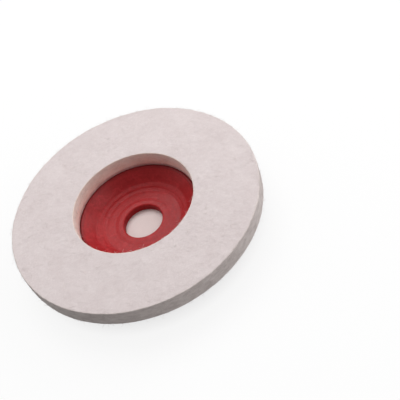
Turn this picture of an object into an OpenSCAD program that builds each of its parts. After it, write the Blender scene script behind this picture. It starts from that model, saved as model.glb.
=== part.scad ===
// Felt polishing wheel for an angle grinder: a pressed wool ring bonded to a dished plastic plate.
// Millimetres. The wheel's axis is Z, its working face looks along +Z, and the back of the hub is at Z = 0.

/* [Felt ring] */
// Outer diameter of the felt, which is the wheel's nominal size
felt_od = 100; // [98:1:115]
// Diameter of the hole through the felt
felt_hole_d = 48.6; // [48.6:0.2:52]
// Thickness of the felt
felt_t = 7.1; // [5:0.1:12]
// Radius of the felt's worn edges
felt_edge_r = 0.3; // [0.2:0.1:1]

/* [Adhesive] */
// Thickness of the cured film between the felt and the flange
glue_t = 0.25; // [0.1:0.05:0.4]
// How far the film stays back from the felt's hole and from the flange's edge
glue_setback = 0.5; // [0.2:0.1:1]

/* [Backing plate] */
// Outer diameter of the flange that carries the felt
plate_od = 88; // [80:1:94]
// Thickness of the flange
flange_t = 2.6; // [2:0.1:2.8]
// How far the flange's edge bead stands out at the back
bead_h = 0.7; // [0.4:0.1:1]
// Width of the edge bead
bead_w = 1.4; // [1:0.1:2]
// Diameter of the step that centres the felt
spigot_d = 48.2; // [47.6:0.1:48.2]
// Height of that step above the flange, up to its unrounded corner
spigot_h = 1.55; // [1.5:0.05:1.8]
// Height from the hub's front face up to the front of the flange
dish_depth = 5.6; // [5.3:0.05:5.8]

/* [Hub] */
// Arbor bore
bore_d = 16; // [15:0.5:16.5]
// Thickness of the hub
hub_t = 2.9; // [2.7:0.1:3.4]
// Diameter of the hub's flat back face
hub_back_d = 36; // [34:1:37]
// Diameter of the hub's flat front face
hub_front_d = 31.2; // [30:0.2:32]
// Diameter of the raised collar round the bore
collar_d = 21.8; // [20:0.2:24]
// Height of the collar
collar_h = 0.2; // [0.1:0.05:0.4]
// Radius of the bore's edge at the back
bore_back_r = 0.3; // [0.2:0.05:0.5]
// Radius of the bore's edge at the collar
bore_front_r = 0.7; // [0.3:0.1:0.9]
// Outer diameter of the sloping ledge where the dish meets the hub
ledge_d = 38; // [37.6:0.2:38.4]
// Width of the ledge
ledge_w = 1.7; // [1.4:0.1:1.8]
// Height of the ledge's outer edge above the hub's front face
ledge_h = 1.45; // [1.3:0.05:1.6]
// How far the ledge rises across its width
ledge_rise = 0.65; // [0.4:0.05:0.7]
// Height of the small riser below the ledge
riser_h = 0.45; // [0.3:0.05:0.5]

/* [Stiffening ribs] */
// Number of radial ribs on the plate's back
rib_count = 12; // [6:1:18]
// Thickness of a rib
rib_t = 1.8; // [1.2:0.1:2.4]

/* [Hidden] */
$fn = 96;

hub_front_z = hub_t;
flange_z = hub_front_z + dish_depth;
flange_back_z = flange_z - flange_t;
felt_back_z = flange_z + glue_t;
felt_face_z = felt_back_z + felt_t;

plate_r = plate_od / 2;
bore_r = bore_d / 2;
spigot_r = spigot_d / 2;
felt_hole_r = felt_hole_d / 2;
ledge_r = ledge_d / 2;
riser_z = hub_front_z + ledge_h - ledge_rise - riser_h;

dish_back_r = spigot_r - 0.2;  // where the dish's back reaches the flange's back
crest_r = 0.5;                 // rounds the top of the centring step
collar_slope = 0.6;            // width of the slope at the collar's edge
rib_foot_z = 1.2;              // a rib starts this high, clear of the clamping face
rib_embed = 0.8;               // how deep a rib's top is sunk into the plate, so that they are one moulding
fillet_steps = 6;

felt_white = [0.86, 0.82, 0.81];
plate_red = [0.68, 0.20, 0.21];
glue_amber = [0.80, 0.68, 0.42];

// Unit vector along v
function unit(v) = v / norm(v);

// Points of an arc of radius r that rounds corner b of the outline a-b-c
function fillet(a, b, c, r) =
    let (
        back = unit(a - b),
        ahead = unit(c - b),
        half = acos(back * ahead) / 2,
        reach = r / tan(half),
        centre = b + unit(back + ahead) * r / sin(half),
        from = b + back * reach - centre,
        to = b + ahead * reach - centre,
        turn = acos(max(-1, min(1, unit(from) * unit(to)))),
        side = from.x * to.y - from.y * to.x < 0 ? -1 : 1
    )
    [for (i = [0 : fillet_steps])
        let (t = side * turn * i / fillet_steps)
        centre + [from.x * cos(t) - from.y * sin(t), from.x * sin(t) + from.y * cos(t)]];

// Outline through corners [x, y, radius], each corner rounded by its own radius, or left sharp at 0
function rounded(corners) =
    [for (i = [0 : len(corners) - 1])
        let (
            n = len(corners),
            at = function (k) [corners[(k + n) % n].x, corners[(k + n) % n].y],
            r = corners[i].z
        )
        each (r == 0 ? [at(i)] : fillet(at(i - 1), at(i), at(i + 1), r))];

// Pressed wool ring, with its hole's wall open to the dish
module felt_ring() {
    color(felt_white)
        rotate_extrude()
            polygon(rounded([
                [felt_hole_r, felt_back_z, 0.2],
                [felt_od / 2, felt_back_z, felt_edge_r],
                [felt_od / 2, felt_face_z, felt_edge_r],
                [felt_hole_r, felt_face_z, felt_edge_r]
            ]));
}

// Thin cured film, which shows only as a line under the felt
module adhesive_layer() {
    color(glue_amber)
        translate([0, 0, flange_z])
            difference() {
                cylinder(r = plate_r - glue_setback, h = glue_t);
                translate([0, 0, -1])
                    cylinder(r = felt_hole_r + glue_setback, h = glue_t + 2);
            }
}

// Hub, dish, centring step and flange, turned from one outline
module plate_body() {
    rotate_extrude()
        polygon(rounded([
            [bore_r, 0, bore_back_r],
            [hub_back_d / 2, 0, 0.6],
            [dish_back_r, flange_back_z, 1],
            [plate_r - bead_w, flange_back_z, 0.3],
            [plate_r - bead_w + 0.2, flange_back_z - bead_h, 0.2],
            [plate_r, flange_back_z - bead_h, 0.4],
            [plate_r, flange_z, 0.3],
            [spigot_r, flange_z, 0],
            [spigot_r, flange_z + spigot_h, crest_r],
            [ledge_r, hub_front_z + ledge_h, 0.5],
            [ledge_r - ledge_w, riser_z + riser_h, 0.2],
            [ledge_r - ledge_w - 0.3, riser_z, 0.3],
            [hub_front_d / 2, hub_front_z, 1],
            [collar_d / 2 + collar_slope / 2, hub_front_z, 0],
            [collar_d / 2 - collar_slope / 2, hub_front_z + collar_h, 0],
            [bore_r, hub_front_z + collar_h, bore_front_r]
        ]));
}

// One radial web between the hub's back and the edge bead
module rib() {
    hub_end = hub_back_d / 2 + 0.4;
    rim_end = plate_r - bead_w + 0.5;
    rotate([90, 0, 0])
        linear_extrude(height = rib_t, center = true)
            polygon([
                [hub_end, rib_foot_z],
                [rim_end, flange_back_z - bead_h + 0.2],
                [rim_end, flange_back_z + rib_embed],
                [dish_back_r, flange_back_z + rib_embed],
                [hub_end, rib_foot_z + rib_embed]
            ]);
}

// The moulded plate with its ribs
module backing_plate() {
    color(plate_red)
        union() {
            plate_body();
            for (i = [0 : rib_count - 1])
                rotate([0, 0, i * 360 / rib_count])
                    rib();
        }
}

backing_plate();
adhesive_layer();
felt_ring();
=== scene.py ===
"""Looks of a felt polishing wheel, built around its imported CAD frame.

Lengths are in metres, and +Z points out of the felt's working face.
"""

import math

import bpy
import numpy as np
from mathutils import Matrix, Vector


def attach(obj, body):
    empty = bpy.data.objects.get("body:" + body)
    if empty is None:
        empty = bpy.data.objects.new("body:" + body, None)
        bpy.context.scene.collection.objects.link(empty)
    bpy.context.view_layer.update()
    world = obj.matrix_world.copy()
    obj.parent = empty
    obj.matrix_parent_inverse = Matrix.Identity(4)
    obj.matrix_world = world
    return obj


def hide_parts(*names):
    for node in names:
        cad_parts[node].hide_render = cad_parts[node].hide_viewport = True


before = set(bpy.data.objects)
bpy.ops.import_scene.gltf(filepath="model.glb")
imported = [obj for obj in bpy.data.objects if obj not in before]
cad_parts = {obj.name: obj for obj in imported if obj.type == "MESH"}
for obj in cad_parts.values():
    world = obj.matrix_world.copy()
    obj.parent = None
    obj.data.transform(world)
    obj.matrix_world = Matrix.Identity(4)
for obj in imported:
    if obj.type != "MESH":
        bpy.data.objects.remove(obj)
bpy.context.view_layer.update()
MM = 0.001


# ---------------------------------------- sizes, from the frame and the plate's own design


def turned_extent(node):
    """(smallest radius, largest radius, lowest z, highest z) of a CAD node turned about Z."""
    co = np.array([v.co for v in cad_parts[node].data.vertices])
    radius = np.hypot(co[:, 0], co[:, 1])
    return radius.min(), radius.max(), co[:, 2].min(), co[:, 2].max()


FELT_HOLE_R, FELT_R, FELT_BACK_Z, FELT_FACE_Z = turned_extent("felt_ring")
BORE_R, PLATE_R, HUB_BACK_Z, _ = turned_extent("backing_plate")
FILM_IN_R, FILM_OUT_R, FLANGE_Z, FILM_TOP_Z = turned_extent("adhesive_layer")

FLANGE_T = 2.6 * MM
FLANGE_BACK_Z = FLANGE_Z - FLANGE_T
HUB_T = 2.9 * MM
HUB_FRONT_Z = HUB_BACK_Z + HUB_T
HUB_BACK_R = 18 * MM
HUB_FRONT_R = 15.6 * MM
COLLAR_R = 10.9 * MM
COLLAR_H = 0.2 * MM
COLLAR_SLOPE = 1.5 * MM
SPIGOT_R = 24.1 * MM
SPIGOT_H = 1.55 * MM
SPIGOT_TOP_Z = FLANGE_Z + SPIGOT_H
LEDGE_R = 19.0 * MM
LEDGE_W = 1.7 * MM
LEDGE_H = 1.45 * MM
LEDGE_Z = HUB_FRONT_Z + LEDGE_H
LEDGE_RISE = 0.65 * MM
RISER_H = 0.45 * MM
RISER_W = 0.6 * MM
BEAD_W = 1.4 * MM
BEAD_H = 0.7 * MM
RIB_COUNT = 12
SECTOR = 2 * math.pi / RIB_COUNT
RIB_T = 1.8 * MM
RIB_FOOT_Z = 1.2 * MM
RIB_INNER_R = HUB_BACK_R + 0.4 * MM
RIB_OUTER_R = PLATE_R - BEAD_W + 0.5 * MM
RIB_OUTER_Z = FLANGE_BACK_Z - BEAD_H + 0.2 * MM


# ---------------------------------------- outlines and turned meshes

ARC_STEPS = 8
SAME_POINT = 1e-7


def rounded(corners, steps=ARC_STEPS):
    """Outline through (r, z, radius) corners as an array, each corner rounded by its own radius."""
    points = []
    for i, (x, y, radius) in enumerate(corners):
        b = Vector((x, y))
        if radius == 0:
            points.append(b)
            continue
        back = (Vector(corners[i - 1][:2]) - b).normalized()
        ahead = (Vector(corners[(i + 1) % len(corners)][:2]) - b).normalized()
        half = back.angle(ahead) / 2
        centre = b + (back + ahead).normalized() * radius / math.sin(half)
        start = b + back * radius / math.tan(half) - centre
        end = b + ahead * radius / math.tan(half) - centre
        turn = start.angle_signed(end)
        for k in range(steps + 1):
            points.append(centre + Matrix.Rotation(-turn * k / steps, 2) @ start)
    return np.array(points)


def filled_in(outline, spacing):
    """The closed outline with points added so that no step is longer than spacing(r, z) allows there."""
    points = []
    for a, b in zip(outline, np.roll(outline, -1, axis=0)):
        middle = (a + b) / 2
        n = max(1, math.ceil(np.linalg.norm(b - a) / spacing(*middle)))
        points.extend(a + (b - a) * k / n for k in range(n))
    points = np.array(points)
    distinct = np.linalg.norm(points - np.roll(points, 1, axis=0), axis=1) > SAME_POINT
    return points[distinct]


def ring_mesh(name, points):
    """Closed mesh from points[i, j], a section's point i at turn j, both ways round."""
    rows, columns = points.shape[:2]
    index = np.arange(rows * columns).reshape(rows, columns)
    below, right = np.roll(index, -1, axis=0), np.roll(index, -1, axis=1)
    corner = np.roll(below, -1, axis=1)
    quads = np.stack([index, right, corner, below], axis=-1).reshape(-1, 4)
    return solid(name, points.reshape(-1, 3), quads)


def solid(name, vertices, *faces):
    """Object with a smooth-shaded mesh of these vertices and these arrays of quads or triangles."""
    mesh = bpy.data.meshes.new(name)
    mesh.from_pydata(vertices.tolist(), [], [face for group in faces for face in group.tolist()])
    mesh.polygons.foreach_set("use_smooth", [True] * len(mesh.polygons))
    mesh.update()
    made = bpy.data.objects.new(name, mesh)
    bpy.context.scene.collection.objects.link(made)
    return made


def turned(outline, angles):
    """Points [i, j] of an outline turned to each angle. A point may have a row of angles of its own."""
    r, z = outline[:, :1], outline[:, 1:]
    return np.stack([r * np.cos(angles), r * np.sin(angles), z + 0 * angles], axis=-1)


def all_round(count):
    """That many even angles, once round."""
    return np.linspace(0, 2 * math.pi, count, endpoint=False)


def section_normals(outline):
    """Outward unit normal of each point of a closed outline that runs anticlockwise."""
    along = np.roll(outline, -1, axis=0) - np.roll(outline, 1, axis=0)
    out = np.stack([along[:, 1], -along[:, 0]], axis=-1)
    return out / np.linalg.norm(out, axis=1, keepdims=True)


# ---------------------------------------- noise


def hashed(cell, seed):
    """A number from -1 to 1 for each whole-number cell, always the same for a seed."""
    n = (cell[..., 0] * 374761393 + cell[..., 1] * 668265263 + cell[..., 2] * 1274126177 + seed * 144665)
    n = (n ^ (n >> 13)) * 1103515245 & 0xFFFFFFFF
    n = (n ^ (n >> 16)) * 2246822519 & 0xFFFFFFFF
    return ((n ^ (n >> 15)) & 0xFFFFFF) / 0x7FFFFF - 1


def lumps(points, size, seed):
    """Smooth noise from -1 to 1, with lumps about size across. Size is a number, or one for each axis."""
    at = points / size
    cell = np.floor(at).astype(np.int64)
    t = at - cell
    t = t * t * t * (t * (t * 6 - 15) + 10)
    total = 0
    for corner in np.ndindex(2, 2, 2):
        share = np.prod(np.where(corner, t, 1 - t), axis=-1)
        total = total + share * hashed(cell + np.array(corner), seed)
    return total


def relief(points, *layers):
    """Noise summed from layers, each of them a height, the size of its lumps, and a seed."""
    return sum(height * lumps(points, size, seed) for height, size, seed in layers)


# ---------------------------------------- felt ring

FELT_COLUMNS = 720
FELT_EDGE_R = 0.3 * MM
FELT_BACK_EDGE_R = 0.2 * MM
FELT_STEP = 0.48 * MM
HIDDEN_STEP = 2 * MM
FELT_SUNK = 0.06 * MM    # keeps most of the unevenness inside the CAD ring
ABOVE_FILM = 0.6 * MM    # how far above the film, and how far outside the plate, it grows to its full height
BEYOND_PLATE = 1.5 * MM
BULGES = (0.07 * MM, 13 * MM, 1), (0.05 * MM, 4.5 * MM, 2)
GRAIN = (0.035 * MM, 1.6 * MM, 3), (0.02 * MM, 0.8 * MM, 4)
PRESSED_LAYERS = (0.03 * MM, np.array([3.0, 3.0, 0.7]) * MM, 5)


def felt_outline():
    """The felt's section, fine where it shows and coarse where the plate covers it."""

    def spacing(r, z):
        hidden = z < FELT_BACK_Z + 0.1 * MM and r < PLATE_R - 2 * MM
        return HIDDEN_STEP if hidden else FELT_STEP

    return filled_in(
        rounded([
            (FELT_HOLE_R, FELT_BACK_Z, FELT_BACK_EDGE_R),
            (FELT_R, FELT_BACK_Z, FELT_EDGE_R),
            (FELT_R, FELT_FACE_Z, FELT_EDGE_R),
            (FELT_HOLE_R, FELT_FACE_Z, FELT_EDGE_R),
        ], steps=6),
        spacing,
    )


def make_felt():
    """Pressed felt: a cut ring whose faces, edges and walls are slightly uneven, as wool is.

    It stays flat where it is bonded to the film. Its layers show only on the rim and in the hole.
    """
    outline = felt_outline()
    angles = all_round(FELT_COLUMNS)
    points = turned(outline, angles)
    normal = turned(section_normals(outline), angles)
    radius = np.hypot(points[..., 0], points[..., 1])
    sideways = np.hypot(normal[..., 0], normal[..., 1])
    above_film = np.clip((points[..., 2] - FELT_BACK_Z) / ABOVE_FILM, 0, 1)
    beyond_plate = np.clip((radius - PLATE_R) / BEYOND_PLATE, 0, 1)
    lift = relief(points, *BULGES) + relief(points, *GRAIN) + relief(points, PRESSED_LAYERS) * sideways
    lift = (lift - FELT_SUNK) * np.maximum(above_film, beyond_plate)
    return ring_mesh("felt_body", points + normal * lift[..., None])


# ---------------------------------------- loose fibres

FIBRE_COUNT = 6800
FIBRE_RINGS = 5
FIBRE_SIDES = 3
FIBRE_SEED = 5
FIBRE_LENGTH = 0.7, 2.4     # mm, the shortest and the longest
FIBRE_RADIUS = 0.017, 0.03  # mm
FIBRE_HEIGHT = 0.05, 0.12   # mm above the root, for a hair that lies down
FIBRE_ROOT_DEPTH = 0.06 * MM
FREE_RISE = 0.4             # how much higher a free end stands, and how much more where the felt is upright
FREE_RISE_UPRIGHT = 1.4
FREE_CURVE = 1.6            # power of the curve by which a free end rises
FREE_TAPER = 0.65           # how much thinner a free end gets, and the two ends of a hair that lies down
LYING_TAPER = 0.4
BEND_SPREAD = 0.28          # spreads of bend and wave, as shares of a hair's length
WAVE_SPREAD = 0.09
EDGE_HEADING_SPREAD = 0.5   # radians from the edge's own direction
FREE_SHARE = 0.4            # share of the hairs that have a free end, and the same beside the plate
FREE_SHARE_BY_PLATE = 0.12
FACE_DENSITY = 0.35         # hairs for an area of the face, against 1 on the rim
FACE_EDGE_DENSITY = 1.2     # what is added to it along the face's edges, and how fast that fades inwards
FACE_EDGE_FADE = 0.8 * MM
OUTER_CORNER_DENSITY = 4.0
INNER_CORNER_DENSITY = 2.0


def fibre_roots(random):
    """Points of the felt's bare surface, closer along its edges.

    Gives the points, the surface's two tangents and its normal there, and which are on a rounded edge.
    """
    outline = felt_outline()
    ahead = np.roll(outline, -1, axis=0)
    r, z = ((outline + ahead) / 2).T
    length = np.linalg.norm(ahead - outline, axis=1)
    on_face = np.abs(z - FELT_FACE_Z) < 0.05 * MM
    covered = (z < FELT_BACK_Z + 0.4 * MM) & (r < PLATE_R + 0.8 * MM)
    edge_distance = np.minimum(FELT_R - r, r - FELT_HOLE_R)
    by_edge = FACE_EDGE_DENSITY * np.exp(-edge_distance / FACE_EDGE_FADE)
    density = np.where(on_face, FACE_DENSITY + by_edge, 1.0) * ~covered
    at_corner = (~on_face) & (np.abs(z - FELT_FACE_Z) < FELT_EDGE_R)
    corner_density = np.where(r > FELT_R - MM, OUTER_CORNER_DENSITY, INNER_CORNER_DENSITY)
    density = np.where(at_corner, corner_density, density)
    weight = density * length * r
    chosen = random.choice(len(outline), FIBRE_COUNT, p=weight / weight.sum())
    part = random.random(FIBRE_COUNT)[:, None]
    angle = random.uniform(0, 2 * math.pi, FIBRE_COUNT)
    normal = section_normals(outline)[chosen]

    def turned_to(pair):
        return np.stack([pair[:, 0] * np.cos(angle), pair[:, 0] * np.sin(angle), pair[:, 1]], axis=-1)

    root = turned_to(outline[chosen] * (1 - part) + ahead[chosen] * part)
    around = np.stack([-np.sin(angle), np.cos(angle), 0 * angle], axis=-1)
    up = turned_to(normal)
    return root, around, np.cross(up, around), up, at_corner[chosen]


def make_fibres():
    """Loose wool: fine curved hairs, rooted in the felt, that lie on it or have a free end standing off."""
    random = np.random.default_rng(FIBRE_SEED)
    root, around, across, up, at_corner = fibre_roots(random)
    n = FIBRE_COUNT
    heading = random.uniform(0, 2 * math.pi, n)
    heading = np.where(at_corner, random.normal(0, EDGE_HEADING_SPREAD, n), heading)
    along = np.cos(heading)[:, None] * around + np.sin(heading)[:, None] * across
    aside = np.cross(up, along)
    length = random.uniform(*FIBRE_LENGTH, n) * MM
    bend = random.normal(0, BEND_SPREAD, n) * length
    wave = random.normal(0, WAVE_SPREAD, n) * length
    in_hole = np.hypot(root[:, 0], root[:, 1]) < FELT_HOLE_R + 0.4 * MM
    by_plate = in_hole | (root[:, 2] < FELT_BACK_Z + MM)
    free = random.random(n) < np.where(by_plate, FREE_SHARE_BY_PLATE, FREE_SHARE)
    sideways = np.hypot(up[:, 0], up[:, 1])
    height = random.uniform(*FIBRE_HEIGHT, n) * MM * (1 + free * (FREE_RISE + FREE_RISE_UPRIGHT * sideways))
    radius = random.uniform(*FIBRE_RADIUS, n) * MM

    s = np.linspace(0, 1, FIBRE_RINGS)[:, None]
    lift = np.where(free, height * s ** FREE_CURVE, height * np.sin(math.pi * s)) - FIBRE_ROOT_DEPTH
    steps = [length * s, bend * s * s + wave * np.sin(2 * math.pi * s), lift]
    middle = root + sum(step[..., None] * way for step, way in zip(steps, (along, aside, up)))
    thin = radius * np.where(free, 1 - FREE_TAPER * s ** 2, 1 - LYING_TAPER * np.abs(2 * s - 1) ** 3)
    corners = []
    for k in range(FIBRE_SIDES):
        turn = 2 * math.pi * k / FIBRE_SIDES
        corners.append(middle + thin[..., None] * (math.cos(turn) * aside + math.sin(turn) * up))
    points = np.stack(corners, axis=2).transpose(1, 0, 2, 3)

    index = np.arange(n * FIBRE_RINGS * FIBRE_SIDES).reshape(n, FIBRE_RINGS, FIBRE_SIDES)
    low, high = index[:, :-1], index[:, 1:]
    sides = np.stack([low, np.roll(low, -1, axis=2), np.roll(high, -1, axis=2), high], axis=-1)
    near_ends, far_ends = index[:, 0, ::-1], index[:, -1]
    return solid("felt_fibres", points.reshape(-1, 3), sides.reshape(-1, 4), near_ends, far_ends)


# ---------------------------------------- backing plate

DISH_STEP = 0.25 * MM
PLATE_STEP = 0.6 * MM
COVERED_STEP = 2.5 * MM
MOULD_RINGS = (0.011 * MM, 1.3 * MM, 21), (0.004 * MM, 0.55 * MM, 22)
RIB_COLUMNS = np.array([0, 0.3, 0.55, 0.7, 0.8, 0.9, 1.0, 1.12, 1.3, 1.6]) * MM  # from a rib's middle
COLUMNS_BETWEEN_RIBS = 6
RIB_FLAT = 0.36  # half the width of a rib's flat top, as a share of its thickness
RIB_SIDE = 0.25  # width of a rib's sloping side, as a share of its thickness


def in_dish(r, z):
    """Whether a point of the plate's section is on its front, from the bore to the centring step's top."""
    front_z = HUB_FRONT_Z + (r - HUB_FRONT_R) * (SPIGOT_TOP_Z - HUB_FRONT_Z) / (SPIGOT_R - HUB_FRONT_R)
    return BORE_R + MM < r < SPIGOT_R - MM and z > max(HUB_FRONT_Z - 0.5 * MM, front_z - 1.2 * MM)


def plate_outline():
    """The plate's section without its ribs, with the shallow rings of a turned mould in the dish."""

    def spacing(r, z):
        if z > FLANGE_Z - 0.1 * MM and r > SPIGOT_R + 0.2 * MM:
            return COVERED_STEP
        return DISH_STEP if in_dish(r, z) else PLATE_STEP

    outline = filled_in(
        rounded([
            (BORE_R, HUB_BACK_Z, 0.3 * MM),
            (HUB_BACK_R, HUB_BACK_Z, 0.6 * MM),
            (SPIGOT_R - 0.2 * MM, FLANGE_BACK_Z, 1.0 * MM),
            (PLATE_R - BEAD_W, FLANGE_BACK_Z, 0.35 * MM),
            (PLATE_R - BEAD_W + 0.2 * MM, FLANGE_BACK_Z - BEAD_H, 0.25 * MM),
            (PLATE_R, FLANGE_BACK_Z - BEAD_H, 0.45 * MM),
            (PLATE_R, FLANGE_Z, 0.3 * MM),
            (SPIGOT_R, FLANGE_Z, 0.1 * MM),
            (SPIGOT_R, SPIGOT_TOP_Z, 0.5 * MM),
            (LEDGE_R, LEDGE_Z, 2.0 * MM),
            (LEDGE_R - LEDGE_W, LEDGE_Z - LEDGE_RISE, 0.6 * MM),
            (LEDGE_R - LEDGE_W - RISER_W, LEDGE_Z - LEDGE_RISE - RISER_H, 0.9 * MM),
            (HUB_FRONT_R, HUB_FRONT_Z, 1.0 * MM),
            (COLLAR_R + COLLAR_SLOPE / 2, HUB_FRONT_Z, 2.0 * MM),
            (COLLAR_R - COLLAR_SLOPE / 2, HUB_FRONT_Z + COLLAR_H, 2.0 * MM),
            (BORE_R, HUB_FRONT_Z + COLLAR_H, 0.7 * MM),
        ]),
        spacing,
    )
    r = outline[:, 0]
    rings = relief(np.stack([r, 0 * r, 0 * r], axis=-1), *MOULD_RINGS)
    share = np.array([in_dish(*point) for point in outline]) * np.clip((r - COLLAR_R) / MM, 0, 1)
    return outline + section_normals(outline) * (rings * share)[:, None]


def rib_columns(radius):
    """Angles round the plate at one radius, closer beside each rib and at even distances along it."""
    near = np.arcsin(RIB_COLUMNS / radius)
    far = near[-1] + (SECTOR / 2 - near[-1]) * np.linspace(0, 1, COLUMNS_BETWEEN_RIBS + 1)[1:]
    half = np.concatenate([near, far])
    one = np.concatenate([-half[:0:-1], half[:-1]])
    return (np.arange(RIB_COUNT)[:, None] * SECTOR + one).ravel()


def rib_depth(radius, distance, base_z):
    """How far a rib stands out below the plate's back, at a radius and a distance from the rib's middle."""
    share = (radius - RIB_INNER_R) / (RIB_OUTER_R - RIB_INNER_R)
    edge_z = RIB_FOOT_Z + share * (RIB_OUTER_Z - RIB_FOOT_Z)
    tall = np.clip(base_z - edge_z, 0, None)
    tall = np.where(radius > RIB_INNER_R - MM, tall, 0)
    side = np.clip((distance - RIB_FLAT * RIB_T) / (RIB_SIDE * RIB_T), 0, 1)
    return tall * (1 - side * side * (3 - 2 * side))


def make_plate():
    """Moulded plate: one closed mesh whose back carries the ribs."""
    outline = plate_outline()
    angles = np.array([rib_columns(r) for r in outline[:, 0]])
    points = turned(outline, angles)
    r, z = outline[:, :1], outline[:, 1:]
    off = (angles + SECTOR / 2) % SECTOR - SECTOR / 2
    distance = np.abs(r * np.sin(off))
    faces_back = section_normals(outline)[:, 1:] < -0.05
    points[..., 2] -= np.where(faces_back, rib_depth(r, distance, z), 0)
    return ring_mesh("plate_moulding", points)


# ---------------------------------------- adhesive

FILM_COLUMNS = 540
FILM_EDGE_R = 0.05 * MM
FILM_STEP = 0.3 * MM
SQUEEZED_OUT = 0.55 * MM
SQUEEZED_W = 0.4 * MM  # how much of the film's width bulges
SQUEEZED_UNEVENLY = (0.35 * MM, 7 * MM, 11), (0.25 * MM, 2.2 * MM, 12)


def make_adhesive():
    """Cured film with an uneven bead squeezed out at the flange's edge."""
    angles = all_round(FILM_COLUMNS)
    top, low = FILM_TOP_Z, FLANGE_Z
    outline = filled_in(
        rounded([
            (FILM_IN_R, low, FILM_EDGE_R),
            (FILM_OUT_R, low, FILM_EDGE_R),
            (FILM_OUT_R, top, FILM_EDGE_R),
            (FILM_IN_R, top, FILM_EDGE_R),
        ], steps=4),
        lambda r, z: HIDDEN_STEP if r < PLATE_R - 3 * MM else FILM_STEP,
    )
    points = turned(outline, angles)
    rim = np.stack([np.cos(angles), np.sin(angles), 0 * angles], axis=-1) * FILM_OUT_R
    reach = SQUEEZED_OUT + relief(rim, *SQUEEZED_UNEVENLY)
    share = np.clip((outline[:, :1] - (FILM_OUT_R - SQUEEZED_W)) / SQUEEZED_W, 0, 1)
    rounding = 1 - 0.5 * ((outline[:, 1:] - (top + low) / 2) / ((top - low) / 2)) ** 2
    grown = 1 + share * rounding * reach / FILM_OUT_R
    points[..., :2] *= grown[..., None]
    return ring_mesh("adhesive_film", points)


# ---------------------------------------- materials


class Material:
    """A node material under construction, with short calls for the nodes it uses."""

    def __init__(self, name):
        self.material = bpy.data.materials.new(name)
        self.material.use_nodes = True
        self.tree = self.material.node_tree
        self.tree.nodes.clear()
        where = self.node("ShaderNodeTexCoord").outputs["Object"]
        self.mm = self.vector("MULTIPLY", where, (1000, 1000, 1000))

    def node(self, kind, settings=None, **inputs):
        """A new node with these settings, and these numbers, colours or sockets put to its inputs."""
        made = self.tree.nodes.new(kind)
        for key, value in (settings or {}).items():
            setattr(made, key, value)
        for key, value in inputs.items():
            self.put(made.inputs[key.replace("_", " ")], value)
        return made

    def put(self, socket, value):
        if isinstance(value, bpy.types.NodeSocket):
            self.tree.links.new(value, socket)
        elif value is not None:
            socket.default_value = value

    def vector(self, operation, *values):
        """Result of a vector operation on vectors or sockets."""
        made = self.node("ShaderNodeVectorMath", {"operation": operation})
        for socket, value in zip(made.inputs, values):
            self.put(socket, value)
        return made.outputs["Value" if operation == "LENGTH" else "Vector"]

    def math(self, operation, *values):
        """Result of an operation on numbers or sockets."""
        made = self.node("ShaderNodeMath", {"operation": operation})
        for socket, value in zip(made.inputs, values):
            self.put(socket, value)
        return made.outputs[0]

    def noise(self, scale, detail=2, rough=0.5, warp=0, vector=None):
        """Noise whose lumps are about 1/scale millimetres."""
        made = self.node(
            "ShaderNodeTexNoise",
            Vector=vector or self.mm, Scale=scale, Detail=detail, Roughness=rough, Distortion=warp,
        )
        return made.outputs["Fac"]

    def spread(self, value, low, high, to_low=0.0, to_high=1.0):
        """value from low to high mapped to to_low..to_high, and held there beyond."""
        made = self.node("ShaderNodeMapRange", {"clamp": True})
        for socket, number in zip(made.inputs, (value, low, high, to_low, to_high)):
            self.put(socket, number)
        return made.outputs[0]

    def mix(self, share, a, b):
        """Colour a, with a share of colour b. Each of the three may be a socket."""
        made = self.node("ShaderNodeMix", {"data_type": "RGBA"})
        for place, value in ((0, share), (6, a), (7, b)):
            self.put(made.inputs[place], (*value, 1) if isinstance(value, tuple) else value)
        return made.outputs[2]

    def bump(self, height, depth_mm, strength=0.5, under=None):
        """Normal of a surface with this height on it, and on top of another bump where one is given."""
        return self.node(
            "ShaderNodeBump", Height=height, Distance=depth_mm * MM, Strength=strength, Normal=under
        ).outputs["Normal"]

    def radius(self):
        """Distance from the wheel's axis in millimetres."""
        return self.vector("LENGTH", self.vector("MULTIPLY", self.mm, (1, 1, 0)))

    def height(self):
        """Height above the hub's back in millimetres."""
        return self.node("ShaderNodeSeparateXYZ", Vector=self.mm).outputs["Z"]

    def shader(self, **inputs):
        """The finished material, with a shader that has these inputs."""
        shader = self.node("ShaderNodeBsdfPrincipled", **inputs)
        self.node("ShaderNodeOutputMaterial", Surface=shader.outputs[0])
        return self.material


HAIR_WIDTH = 0.022  # how far the noise may be from its middle on a line


def hairs(m, heading):
    """Thin wandering lines, mostly along one heading in degrees: 1 on a line and 0 away from it."""
    turn = (0.35, 0.2, math.radians(heading))
    stretched = m.node("ShaderNodeMapping", Vector=m.mm, Rotation=turn, Scale=(0.3, 1.7, 1.7)).outputs[0]
    field = m.noise(1.0, detail=2, warp=0.6, vector=stretched)
    off_line = m.math("ABSOLUTE", m.math("SUBTRACT", field, 0.5))
    return m.spread(off_line, 0.0, HAIR_WIDTH, to_low=1.0, to_high=0.0)


WOOL = (0.708, 0.617, 0.612)
WOOL_PALE = (0.762, 0.674, 0.669)
PILE_SHADE = (0.61, 0.523, 0.513)
MATTED_HAIR = (0.86, 0.80, 0.79)
RIM_TONE = (0.80, 0.70, 0.66)
RIM_STREAK = (0.55, 0.475, 0.445)
CUT_DARK = (0.34, 0.285, 0.265)
CUT_PALE = (0.92, 0.84, 0.81)
# painted red reflected light from the plate, low on the hole's wall
HOLE_PAINTED_RED_BOUNCE = (0.90, 0.56, 0.46)
HOLE_HIGH = (0.90, 0.75, 0.65)
HOLE_FADE = 10.5, 15.0  # mm, the heights between which the first turns to the second
# painted shade, dark red, at the foot of the hole's wall where the felt meets the plate
HOLE_FOOT_PAINTED_SHADE = (0.52, 0.13, 0.11)
HOLE_FOOT_SHADE_FADE = 9.4, 10.5  # mm, the heights over which the painted shade ends, round the plate's crest


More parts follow.
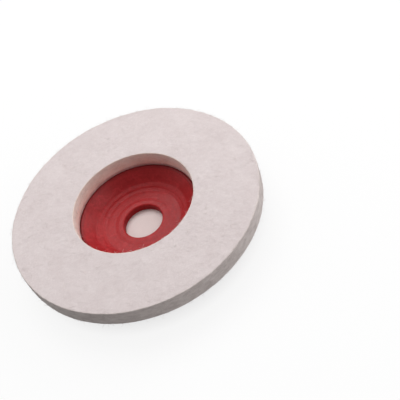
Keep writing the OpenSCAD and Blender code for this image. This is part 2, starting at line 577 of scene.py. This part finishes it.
def felt_material():
    """Pressed undyed wool: matted hairs in every direction, and faint mottling.

    Its two cut sides are more mottled. The rim has streaks along the pressed layers. The wall of the hole is
    painted warmer towards the plate, painted red reflected light, and darker red at its foot, painted shade
    by the plate.
    """
    m = Material("pressed_wool_felt")
    radius, height = m.radius(), m.height()
    on_rim = m.spread(radius, FELT_R / MM - 0.5, FELT_R / MM - 0.2)
    hole_r = FELT_HOLE_R / MM
    in_hole = m.spread(radius, hole_r + 0.15, hole_r + 0.4, to_low=0.78, to_high=0.0)

    matted = m.math("MAXIMUM", hairs(m, 15), hairs(m, 75))
    matted = m.math("MAXIMUM", matted, hairs(m, 135))
    mottle = m.noise(0.11, detail=4, rough=0.6, warp=0.4)
    pile = m.noise(2.6, detail=5, rough=0.7, warp=0.5)
    tone = m.mix(m.spread(mottle, 0.35, 0.65), WOOL, WOOL_PALE)
    tone = m.mix(m.spread(pile, 0.3, 0.7, to_low=0.24, to_high=0.0), tone, PILE_SHADE)
    tone = m.mix(m.math("MULTIPLY", matted, 0.35), tone, MATTED_HAIR)

    pressed = m.noise(1.0, detail=3, rough=0.6, vector=m.vector("MULTIPLY", m.mm, (0.3, 0.3, 1.5)))
    streak = m.math("MULTIPLY", on_rim, m.spread(pressed, 0.35, 0.62, to_low=0.55, to_high=0.0))
    tone = m.mix(streak, tone, RIM_STREAK)
    tone = m.mix(m.math("MULTIPLY", on_rim, 0.5), tone, RIM_TONE)

    # painted red reflected light: the hole's wall turns warmer towards the plate
    wall = m.mix(m.spread(height, *HOLE_FADE), HOLE_PAINTED_RED_BOUNCE, HOLE_HIGH)
    # painted shade at the wall's foot, next to the plate's crest
    wall = m.mix(m.spread(height, *HOLE_FOOT_SHADE_FADE, to_low=1.0, to_high=0.0), wall, HOLE_FOOT_PAINTED_SHADE)
    tone = m.mix(in_hole, tone, wall)

    on_cut = m.math("MAXIMUM", on_rim, m.math("MULTIPLY", in_hole, 0.8))
    patches = m.vector("MULTIPLY", m.mm, (0.32, 0.32, 0.7))
    blotches = m.noise(1.0, detail=4, rough=0.6, warp=0.3, vector=patches)
    darker = m.math("MULTIPLY", on_cut, m.spread(blotches, 0.34, 0.52, to_low=0.27, to_high=0.0))
    paler = m.math("MULTIPLY", on_cut, m.spread(blotches, 0.48, 0.66, to_high=0.34))
    tone = m.mix(darker, tone, CUT_DARK)
    tone = m.mix(paler, tone, CUT_PALE)

    normal = m.bump(pile, depth_mm=0.14)
    normal = m.bump(matted, depth_mm=0.05, under=normal)
    return m.shader(
        Base_Color=tone, Roughness=0.95, Normal=normal, Sheen_Weight=0.25, Sheen_Roughness=0.5,
        Specular_IOR_Level=0.25,
    )


def fibre_material():
    """Single wool hairs, lighter than the felt they come from."""
    m = Material("loose_wool")
    tone = m.mix(m.spread(m.noise(0.6), 0.35, 0.65), (0.70, 0.62, 0.60), (0.82, 0.75, 0.73))
    return m.shader(Base_Color=tone, Roughness=0.8, Sheen_Weight=0.2, Specular_IOR_Level=0.3)


# One red plastic: the dish is painted a darker red and the hub a brighter one, painted shade in the dish and
# painted light on the hub
DISH_PAINTED_SHADED_RED = (0.305, 0.013, 0.015), (0.345, 0.018, 0.020)  # the two ends of its clouding
HUB_PAINTED_LIT_RED = (0.355, 0.009, 0.011), (0.395, 0.014, 0.016)
TURNING_MARK = (0.43, 0.03, 0.033)
DARK_SPOT = (0.23, 0.006, 0.009)
SCUFF = (0.49, 0.03, 0.036)
# painted shade along the plate's crest, where the felt's wall shades the dish
CREST_PAINTED_SHADE = (0.12, 0.005, 0.006)


def plate_material():
    """Red moulded plastic: a satin skin with turning marks, dark spots and scuffs.

    Its red is painted brighter at the hub than in the dish, painted light and shade, and painted shade
    darkens it along the crest, next to the felt.
    """
    m = Material("red_moulded_plastic")
    radius, height = m.radius(), m.height()
    direction = m.vector("NORMALIZE", m.vector("MULTIPLY", m.mm, (1, 1, 0)))
    round_about = m.vector(
        "ADD", m.vector("MULTIPLY", direction, (2.2, 2.2, 0)), m.vector("MULTIPLY", radius, (0, 0, 1.6))
    )
    marks = m.noise(1.0, detail=4, rough=0.6, vector=round_about)
    wobble = m.noise(0.25)
    rings = m.math("SINE", m.math("MULTIPLY", m.math("ADD", radius, wobble), 9.0))
    skin = m.noise(0.9, detail=3, rough=0.55)
    grain = m.noise(5.0)
    scuffs = m.noise(0.4, detail=3, rough=0.6, warp=1.0)
    cloud = m.spread(m.noise(0.16, detail=3, rough=0.6, warp=0.5), 0.35, 0.65)

    # painted light on the hub, painted shade in the dish
    painted_dish_shade = m.spread(radius, LEDGE_R / MM - 4, LEDGE_R / MM + 2)
    tone = m.mix(painted_dish_shade, m.mix(cloud, *HUB_PAINTED_LIT_RED), m.mix(cloud, *DISH_PAINTED_SHADED_RED))
    tone = m.mix(m.spread(marks, 0.38, 0.7, to_high=0.5), tone, TURNING_MARK)
    tone = m.mix(m.spread(skin, 0.3, 0.5, to_low=0.42, to_high=0.0), tone, DARK_SPOT)
    tone = m.mix(m.spread(scuffs, 0.5, 0.66, to_high=0.5), tone, SCUFF)
    # painted shade: the dish darkens towards the crest, next to the felt's wall
    crest_z = SPIGOT_TOP_Z / MM
    tone = m.mix(m.spread(height, crest_z - 1.8, crest_z - 0.8, to_high=0.5), tone, CREST_PAINTED_SHADE)

    uneven = m.math("ADD", skin, m.math("MULTIPLY", marks, 0.8))
    rough = m.spread(uneven, 0.6, 1.2, to_low=0.30, to_high=0.5)
    normal = m.bump(grain, depth_mm=0.015, strength=0.4)
    for layer, depth in ((skin, 0.03), (rings, 0.008), (marks, 0.05)):
        normal = m.bump(layer, depth_mm=depth, under=normal)
    return m.shader(Base_Color=tone, Roughness=rough, Normal=normal, Specular_IOR_Level=0.22)


def adhesive_material():
    """Cured amber contact adhesive."""
    m = Material("cured_adhesive")
    cloud = m.noise(0.5, detail=3, rough=0.6)
    tone = m.mix(m.spread(cloud, 0.3, 0.7), (0.50, 0.33, 0.12), (0.66, 0.50, 0.26))
    rough = m.spread(cloud, 0.3, 0.7, to_low=0.25, to_high=0.45)
    return m.shader(Base_Color=tone, Roughness=rough, Normal=m.bump(m.noise(1.2), depth_mm=0.05))


FLOOR_GLOW = 0.88                  # share of the floor's brightness that is glow, at the felt's edge
FLOOR_RETURN = (0.35, 0.35, 0.35)  # the floor's colour for the light that it sends back to the wheel
# painted red reflected light from the plate, on the sheet seen through the bore
BORE_PAINTED_RED_BOUNCE = (0.82, 0.71, 0.69)


def floor_material():
    """White studio sheet, which glows like a light table and sends little light back up at the wheel.

    The glow grows from none at the bore to full far away, so that the wheel's shadow shows under it and no
    horizon shows behind it. Through the bore the sheet is painted a warm tone, painted red reflected light
    from the plate.
    """
    m = Material("studio_sheet")
    seen = m.node("ShaderNodeLightPath").outputs["Is Camera Ray"]
    radius = m.radius()
    near_glow = m.spread(radius, BORE_R / MM, FELT_R / MM, to_high=FLOOR_GLOW)
    far_glow = m.spread(radius, 3 * FELT_R / MM, 16 * FELT_R / MM, to_high=1.0 - FLOOR_GLOW)
    glow = m.math("ADD", near_glow, far_glow)
    paper = m.mix(m.noise(0.004), (0.90, 0.90, 0.90), (0.92, 0.92, 0.92))
    # painted red reflected light on the sheet under the bore
    paper = m.mix(m.spread(radius, BORE_R / MM, HUB_BACK_R / MM), BORE_PAINTED_RED_BOUNCE, paper)
    return m.shader(
        Base_Color=m.mix(seen, FLOOR_RETURN, m.mix(glow, paper, (0.0, 0.0, 0.0))),
        Emission_Color=(1, 1, 1, 1), Emission_Strength=m.math("MULTIPLY", seen, glow),
        Roughness=0.9, Specular_IOR_Level=0.1,
    )


# ---------------------------------------- studio

CAMERA_AT = Vector((24.05, -204.68, 225.09)) * MM
CAMERA_BELOW_HORIZON = 47.61
CAMERA_ROLL = 23.32
LENS_MM = 68.47
SENSOR_MM = 36


def make_camera():
    """The camera looks along +Y and down, rolled about its own axis."""
    data = bpy.data.cameras.new("camera")
    data.lens, data.sensor_width = LENS_MM, SENSOR_MM
    data.clip_start, data.clip_end = 0.01, 20
    camera = bpy.data.objects.new("camera", data)
    tilt = Matrix.Rotation(math.radians(90 - CAMERA_BELOW_HORIZON), 4, "X")
    roll = Matrix.Rotation(math.radians(-CAMERA_ROLL), 4, "Z")
    camera.matrix_world = Matrix.Translation(CAMERA_AT) @ tilt @ roll
    bpy.context.scene.collection.objects.link(camera)
    bpy.context.scene.camera = camera


FLOOR_HALF = 3.0


def make_floor():
    """A wide flat sheet under the hub's back face."""
    corners = np.array([(-1, -1, 0), (1, -1, 0), (1, 1, 0), (-1, 1, 0)]) * FLOOR_HALF
    floor = solid("floor", corners, np.array([[0, 1, 2, 3]]))
    floor.data.materials.append(floor_material())


LIGHT_DISTANCE = 0.7
LIGHT_SIZE = 0.55
FILL = 0.28  # strength of the even light from all round, against 1 for the white that the camera sees


def soft_box(name, toward, elevation, strength):
    """A round soft light aimed at the wheel, which gives it about strength watts a square metre.

    toward is its compass direction, 0 at +Y and 90 at +X.
    """
    data = bpy.data.lights.new(name, "AREA")
    data.shape, data.size = "DISK", LIGHT_SIZE
    data.energy = strength * math.pi * LIGHT_DISTANCE ** 2
    a, e = math.radians(toward), math.radians(elevation)
    direction = Vector((math.sin(a) * math.cos(e), math.cos(a) * math.cos(e), math.sin(e)))
    light = bpy.data.objects.new(name, data)
    light.location = direction * LIGHT_DISTANCE
    light.rotation_euler = direction.to_track_quat("Z", "Y").to_euler()
    light.visible_camera = False
    bpy.context.scene.collection.objects.link(light)


def make_lights():
    """Soft light from behind and from the right, and a weak even fill in front of a white backdrop."""
    soft_box("back", toward=0, elevation=60, strength=1.65)
    soft_box("back_right", toward=60, elevation=25, strength=1.4)
    soft_box("right", toward=120, elevation=25, strength=0.85)
    soft_box("left", toward=-60, elevation=25, strength=0.55)
    world = bpy.data.worlds.new("studio")
    world.use_nodes = True
    tree = world.node_tree
    seen = tree.nodes.new("ShaderNodeLightPath").outputs["Is Camera Ray"]
    brightness = tree.nodes.new("ShaderNodeMapRange")
    brightness.inputs["To Min"].default_value = FILL
    brightness.inputs["To Max"].default_value = 1.0
    background = tree.nodes["Background"]
    background.inputs["Color"].default_value = (1, 1, 1, 1)
    tree.links.new(seen, brightness.inputs["Value"])
    tree.links.new(brightness.outputs["Result"], background.inputs["Strength"])
    bpy.context.scene.world = world
    bpy.context.scene.view_settings.view_transform = "Standard"


# ---------------------------------------- the wheel


def fit_piece(piece, material, node):
    """Dresses a new piece, which rides on the one body and stands for its CAD node."""
    piece.data.materials.append(material)
    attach(piece, "root")
    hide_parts(node)


make_camera()
make_floor()
make_lights()
felt = make_felt()
fit_piece(felt, felt_material(), "felt_ring")
fit_piece(make_fibres(), fibre_material(), "felt_ring")
fit_piece(make_plate(), plate_material(), "backing_plate")
fit_piece(make_adhesive(), adhesive_material(), "adhesive_layer")
